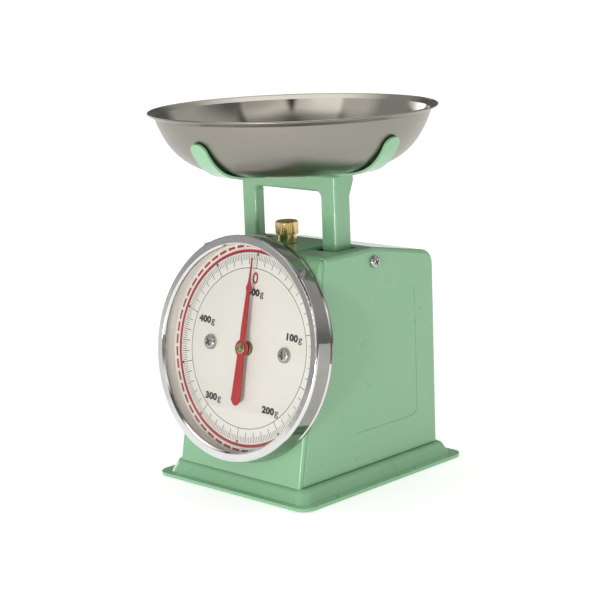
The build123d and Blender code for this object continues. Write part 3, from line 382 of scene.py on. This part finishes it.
def red_enamel():
    """Semi-gloss red on the stamped pointer."""
    material, tree, shader = start_material("red_enamel")
    place = object_coordinates(tree)
    uneven = noise(tree, place, 260.0, 3.0)
    tree.links.new(blend_colours(tree, uneven, *HAND_RED), shader.inputs["Base Color"])
    tree.links.new(spread(tree, uneven, 0.30, 0.42), shader.inputs["Roughness"])
    bump(tree, shader, noise(tree, place, 900.0, 2.0), FAINT_RELIEF)
    return material


def metal(name, dark, light, polish, grain, relief):
    """Plain metal with fine grain in its colour, polish and relief."""
    material, tree, shader = start_material(name)
    place = object_coordinates(tree)
    shader.inputs["Metallic"].default_value = 1.0
    fine = noise(tree, place, grain, 4.0, 0.6)
    tree.links.new(blend_colours(tree, fine, dark, light), shader.inputs["Base Color"])
    tree.links.new(spread(tree, noise(tree, place, grain * 0.2, 3.0), *polish), shader.inputs["Roughness"])
    bump(tree, shader, fine, relief)
    return material


def rubber():
    """Moulded black rubber with a fine matt grain."""
    material, tree, shader = start_material("rubber")
    place = object_coordinates(tree)
    grain = noise(tree, place, 1800.0, 3.0)
    tree.links.new(blend_colours(tree, grain, *RUBBER_BLACK), shader.inputs["Base Color"])
    tree.links.new(spread(tree, grain, 0.62, 0.82), shader.inputs["Roughness"])
    bump(tree, shader, grain, RUBBER_RELIEF)
    return material


def make_finishes():
    """The finish for each material slot of the record."""
    finishes = {slot: metal(*look) for slot, look in METALS.items()}
    finishes["green_paint"] = green_enamel()
    finishes["soft_rubber"] = rubber()
    finishes["dial_print"] = dial_paint()
    finishes["bezel_chrome"] = chrome()
    finishes["lens_glass"] = clear_lens()
    finishes["pointer_red"] = red_enamel()
    finishes["pan_steel"] = bowl_steel()
    return finishes


def dress_nodes(finishes):
    """Gives every CAD node the finish of its slot."""
    for piece in frame["nodes"].values():
        slot = piece.data.materials[0].name
        piece.data.materials[0] = finishes[slot]


# ---------------------------------------------------------------- printed dial

def dial_frame():
    """Matrix from the dial's plane, in metres with its face at zero height, to the model's frame."""
    spin = joint_named("pointer_spin")
    outward = Vector(spin["axis"])
    centre = Vector(spin["pos_m"])
    hand = [vertex.co - centre for vertex in frame["nodes"]["pointer"].data.vertices]
    tip = max(hand, key=lambda arm: arm.length)
    up = (tip - outward * tip.dot(outward)).normalized()
    right = up.cross(outward)
    plate = frame["nodes"]["dial_plate"].data
    arms = [vertex.co - centre for vertex in plate.vertices]
    flat = [arm for arm in arms if (arm - outward * arm.dot(outward)).length < BAND_INNER_R * MM]
    face = max(arm.dot(outward) for arm in flat)
    place = Matrix.Identity(4)
    for column, axis in enumerate((right, up, outward)):
        place.col[column][:3] = axis
    place.col[3][:3] = centre + outward * face
    return place


def on_dial(radius, angle):
    """Point at a clockwise angle in degrees from the top of the dial, in metres on its plane."""
    turn = math.radians(angle)
    return Vector((math.sin(turn), math.cos(turn), 0.0)) * radius * MM


def ink_sector(mesh, inner, outer, start, end, step):
    """Adds a closed, very thin printed sector between two radii and two clockwise angles."""
    count = max(1, math.ceil((end - start) / step))
    low = PRINT_LIFT * MM
    high = low + INK_THICK * MM
    full = end - start >= 360.0
    rings = []
    for index in range(count if full else count + 1):
        angle = start + (end - start) * index / count
        near = on_dial(inner, angle)
        far = on_dial(outer, angle)
        rings.append([mesh.verts.new((p.x, p.y, z)) for z in (low, high) for p in (near, far)])
    pairs = list(zip(rings, rings[1:] + rings[:1] if full else rings[1:]))
    for now, after in pairs:
        mesh.faces.new((now[2], now[3], after[3], after[2]))
        mesh.faces.new((now[1], now[0], after[0], after[1]))
        mesh.faces.new((now[0], now[2], after[2], after[0]))
        mesh.faces.new((now[3], now[1], after[1], after[3]))
    if not full:
        first, last = rings[0], rings[-1]
        mesh.faces.new((first[0], first[1], first[3], first[2]))
        mesh.faces.new((last[1], last[0], last[2], last[3]))


def ink_bar(mesh, inner, outer, wide, angle):
    """Adds one straight printed mark that points at the dial's centre."""
    low = PRINT_LIFT * MM
    high = low + INK_THICK * MM
    along = on_dial(1.0, angle).normalized()
    side = Vector((along.y, -along.x, 0.0)) * wide * MM / 2
    near = along * inner * MM
    far = along * outer * MM
    corners = [near - side, far - side, far + side, near + side]
    bottom = [mesh.verts.new((p.x, p.y, low)) for p in corners]
    top = [mesh.verts.new((p.x, p.y, high)) for p in corners]
    mesh.faces.new(top[::-1])
    mesh.faces.new(bottom)
    for now, after in ((0, 1), (1, 2), (2, 3), (3, 0)):
        mesh.faces.new((bottom[after], bottom[now], top[now], top[after]))


def finish_print(name, shape, place, material):
    """Turns a printed shape into a piece on the dial."""
    bmesh.ops.recalc_face_normals(shape, faces=shape.faces)
    shape.transform(place)
    mesh = bpy.data.meshes.new(name)
    shape.to_mesh(mesh)
    shape.free()
    mesh.materials.clear()
    mesh.materials.append(material)
    piece = bpy.data.objects.new(name, mesh)
    bpy.context.scene.collection.objects.link(piece)
    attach(piece, "housing")


def print_band(place, material):
    """White band under the scale."""
    shape = bmesh.new()
    ink_sector(shape, BAND_INNER_R, BAND_OUTER_R, 0.0, 360.0, COARSE_STEP)
    shape.transform(Matrix.Translation((0, 0, -BAND_SINK * MM)))
    finish_print("dial_band", shape, place, material)


def print_red_rings(place, material):
    """Solid red ring and the dashed ring outside it."""
    solid = bmesh.new()
    ink_sector(solid, RED_RING_INNER_R, RED_RING_OUTER_R, 0.0, 360.0, FINE_STEP)
    finish_print("dial_red_ring", solid, place, material)
    dashes = bmesh.new()
    pitch = 360.0 / DASH_COUNT
    for index in range(DASH_COUNT):
        start = (index - DASH_SHARE / 2) * pitch
        end = start + DASH_SHARE * pitch
        ink_sector(dashes, DASH_R - DASH_WIDE / 2, DASH_R + DASH_WIDE / 2, start, end, FINE_STEP)
    finish_print("dial_dashes", dashes, place, material)


def print_scale(place, material):
    """Thin inner ring, graduations every 2 g, and a square mark every 50 g."""
    shape = bmesh.new()
    half = THIN_RING_WIDE / 2
    ink_sector(shape, BAND_INNER_R - half, BAND_INNER_R + half, 0.0, 360.0, COARSE_STEP)
    for index in range(TICK_COUNT):
        angle = index * 360.0 / TICK_COUNT
        if index % TICKS_PER_LONG == 0:
            ink_bar(shape, BAND_INNER_R, TICK_OUTER_R, TICK_LONG_WIDE, angle)
            ink_bar(shape, DOT_R - DOT_SIZE / 2, DOT_R + DOT_SIZE / 2, DOT_SIZE, angle)
        elif index % TICKS_PER_MEDIUM == 0:
            ink_bar(shape, TICK_OUTER_R - TICK_MEDIUM, TICK_OUTER_R, TICK_LONG_WIDE, angle)
        else:
            ink_bar(shape, TICK_OUTER_R - TICK_SHORT, TICK_OUTER_R, TICK_WIDE, angle)
    finish_print("dial_scale", shape, place, material)


def text_mesh(words, tall, widen, bold):
    """Flat figures of this height round the origin, as a bmesh in metres, and how wide they are."""
    curve = bpy.data.curves.new("words", "FONT")
    curve.body = words
    curve.size = 1.0
    curve.offset = bold
    curve.extrude = 0.01
    curve.space_character = LETTER_SPACING
    holder = bpy.data.objects.new("words", curve)
    bpy.context.scene.collection.objects.link(holder)
    bpy.context.view_layer.update()
    mesh = bpy.data.meshes.new_from_object(holder)
    bpy.data.objects.remove(holder)
    bpy.data.curves.remove(curve)
    shape = bmesh.new()
    shape.from_mesh(mesh)
    bpy.data.meshes.remove(mesh)
    lows = [min(v.co[axis] for v in shape.verts) for axis in range(3)]
    highs = [max(v.co[axis] for v in shape.verts) for axis in range(3)]
    grow = tall * MM / (highs[1] - lows[1])
    middle = Vector(((lows[0] + highs[0]) / 2, (lows[1] + highs[1]) / 2, lows[2]))
    shape.transform(Matrix.Translation(-middle))
    shape.transform(Matrix.Diagonal((grow * widen, grow, INK_THICK * MM / (highs[2] - lows[2]), 1.0)))
    return shape, (highs[0] - lows[0]) * grow * widen


def print_words(name, parts, x, y, place, material):
    """Prints figures side by side, centred on a point of the dial.

    Each part is its text, height, widening, boldness and drop below the line."""
    shapes = [(text_mesh(*look), drop) for *look, drop in parts]
    gap = UNIT_GAP * MM
    width = sum(wide for (_, wide), _ in shapes) + gap * (len(shapes) - 1)
    left = x * MM - width / 2
    joined_shape = bmesh.new()
    for (shape, wide), drop in shapes:
        shape.transform(Matrix.Translation((left + wide / 2, (y - drop) * MM, PRINT_LIFT * MM)))
        scratch = bpy.data.meshes.new("scratch")
        shape.to_mesh(scratch)
        shape.free()
        joined_shape.from_mesh(scratch)
        bpy.data.meshes.remove(scratch)
        left += wide + gap
    finish_print(name, joined_shape, place, material)


def print_numerals(place, black, red):
    """Numbers every 100 g, upright, with the red zero over the full capacity at the top."""
    print_words("dial_zero", [("0", ZERO_TALL, 1.0, ZERO_BOLD, 0.0)], 0.0, ZERO_R, place, red)
    unit = ("g", UNIT_TALL, UNIT_WIDEN, UNIT_BOLD, UNIT_DROP)
    for grams in range(NUMERAL_STEP, CAPACITY + 1, NUMERAL_STEP):
        angle = grams * 360.0 / CAPACITY
        radius = LOWER_NUMERAL_R if 90.0 < angle < 270.0 else NUMERAL_R
        spot = on_dial(radius, angle) / MM
        if grams == CAPACITY:
            spot = Vector((FULL_SHIFT, FULL_R, 0.0))
        number = (str(grams), NUMERAL_TALL, NUMERAL_WIDEN, NUMERAL_BOLD, 0.0)
        print_words(f"dial_numeral_{grams}", [number, unit], spot.x, spot.y, place, black)


def print_dial():
    """Everything printed on the dial's face."""
    place = dial_frame()
    white = ink("band_white", *BAND_WHITE)
    black = ink("ink_black", *INK_BLACK)
    red = ink("ink_red", *INK_RED)
    print_band(place, white)
    print_red_rings(place, red)
    print_scale(place, black)
    print_numerals(place, black, red)


# ---------------------------------------------------------------- studio

def add_floor():
    """Pale, nearly white table that runs out of sight."""
    corners = [(x * FLOOR_HALF, y * FLOOR_HALF, 0) for x, y in ((-1, -1), (1, -1), (1, 1), (-1, 1))]
    mesh = bpy.data.meshes.new("floor")
    mesh.from_pydata(corners, [], [(0, 1, 2, 3)])
    material, tree, shader = start_material("floor_paper")
    place = object_coordinates(tree)
    paper = noise(tree, place, 400.0, 2.0)
    tree.links.new(blend_colours(tree, paper, *FLOOR_WHITE), shader.inputs["Base Color"])
    shader.inputs["Roughness"].default_value = 0.9
    shader.inputs["Emission Color"].default_value = (1.0, 1.0, 1.0, 1.0)
    shader.inputs["Emission Strength"].default_value = FLOOR_GLOW
    mesh.materials.append(material)
    floor = bpy.data.objects.new("floor", mesh)
    bpy.context.scene.collection.objects.link(floor)


def sky_direction(tree):
    """Direction from the object towards the surroundings, as a unit vector."""
    return tree.nodes.new("ShaderNodeTexCoord").outputs["Generated"]


def window(tree, direction, towards, wide, tall, soft):
    """1 inside a soft-edged rectangle of the surroundings, 0 outside; sizes are tangents of half angles.

    Soft is the half width of the edge across and up."""
    centre = Vector(towards).normalized()
    level = centre.cross(Vector((0.0, 0.0, 1.0))).normalized()
    upright = level.cross(centre)
    ahead = calculate(tree, "MAXIMUM", dotted(tree, direction, centre), 0.01)
    masks = []
    for axis, half, edge in ((level, wide, soft[0]), (upright, tall, soft[1])):
        offset = calculate(tree, "ABSOLUTE", calculate(tree, "DIVIDE", dotted(tree, direction, axis), ahead))
        masks.append(spread(tree, offset, 1.0, 0.0, half - edge, half + edge))
    return calculate(tree, "MULTIPLY", *masks)


def brighten(tree, light, direction, patches):
    """Adds the glow of each patch of the room to the light."""
    for *outline, glow in patches:
        light = calculate(tree, "MULTIPLY_ADD", window(tree, direction, *outline), glow, light)
    return light


def darken(tree, light, direction, patches):
    """Brings the light down to a share of itself in each patch of the room."""
    for *outline, share in patches:
        kept = spread(tree, window(tree, direction, *outline), 1.0, share, 0.0, 1.0)
        light = calculate(tree, "MULTIPLY", light, kept)
    return light


def light_room():
    """Grey room with a bright ceiling, windows in front and at the left, and some darker parts."""
    world = bpy.data.worlds.new("studio")
    bpy.context.scene.world = world
    world.use_nodes = True
    tree = world.node_tree
    direction = sky_direction(tree)
    height = dotted(tree, direction, (0.0, 0.0, 1.0))
    light = spread(tree, height, ROOM_LIGHT, CEILING_LIGHT, *CEILING_EDGE)
    light = darken(tree, light, direction, (DARK_FRONT, DARK_BACK))
    light = brighten(tree, light, direction, (PANE_LEFT, PANE_RIGHT))
    light = darken(tree, light, direction, (DIM_RIGHT,))
    light = brighten(tree, light, direction, (FRONT_GLOW, BACK_GLOW, LEFT_WINDOW, LEFT_STRIP))
    background = tree.nodes["Background"]
    background.inputs["Color"].default_value = ROOM_TINT
    tree.links.new(light, background.inputs["Strength"])


def add_lamp():
    """One small rectangular light low in front, for the streaks down the rounded edges."""
    light = bpy.data.lights.new("low_front", "AREA")
    light.shape = "RECTANGLE"
    light.size = LAMP_WIDE
    light.size_y = LAMP_TALL
    light.energy = LAMP_POWER
    lamp = bpy.data.objects.new("low_front", light)
    bpy.context.scene.collection.objects.link(lamp)
    lamp.location = LAMP_PLACE
    lamp.rotation_euler = (Vector(LAMP_TARGET) - Vector(LAMP_PLACE)).to_track_quat("-Z", "Y").to_euler()
    lamp.visible_camera = False


def add_camera():
    """Camera at the eye height and angle that shows the dial and the right side."""
    camera = bpy.data.cameras.new("camera")
    camera.lens = CAMERA_LENS
    camera.sensor_width = SENSOR
    camera.clip_start = 0.01
    camera.clip_end = 100.0
    azimuth, pitch, roll = (math.radians(v) for v in (CAMERA_AZIMUTH, CAMERA_PITCH, CAMERA_ROLL))
    ahead = Vector((-math.sin(azimuth), math.cos(azimuth), 0.0))
    forward = ahead * math.cos(pitch) - Vector((0.0, 0.0, math.sin(pitch)))
    level = Vector((math.cos(azimuth), math.sin(azimuth), 0.0))
    upright = level.cross(forward)
    right = level * math.cos(roll) + upright * math.sin(roll)
    up = upright * math.cos(roll) - level * math.sin(roll)
    pose = Matrix.Identity(4)
    for column, axis in enumerate((right, up, -forward)):
        pose.col[column][:3] = axis
    pose.col[3][:3] = CAMERA_PLACE
    holder = bpy.data.objects.new("camera", camera)
    bpy.context.scene.collection.objects.link(holder)
    holder.matrix_world = pose
    bpy.context.scene.camera = holder


def main():
    """Dresses the model and sets up the studio."""
    dress_nodes(make_finishes())
    frame["nodes"]["lens"].visible_shadow = False
    print_dial()
    add_floor()
    light_room()
    add_lamp()
    add_camera()
    bpy.context.scene.view_settings.view_transform = "Standard"


main()
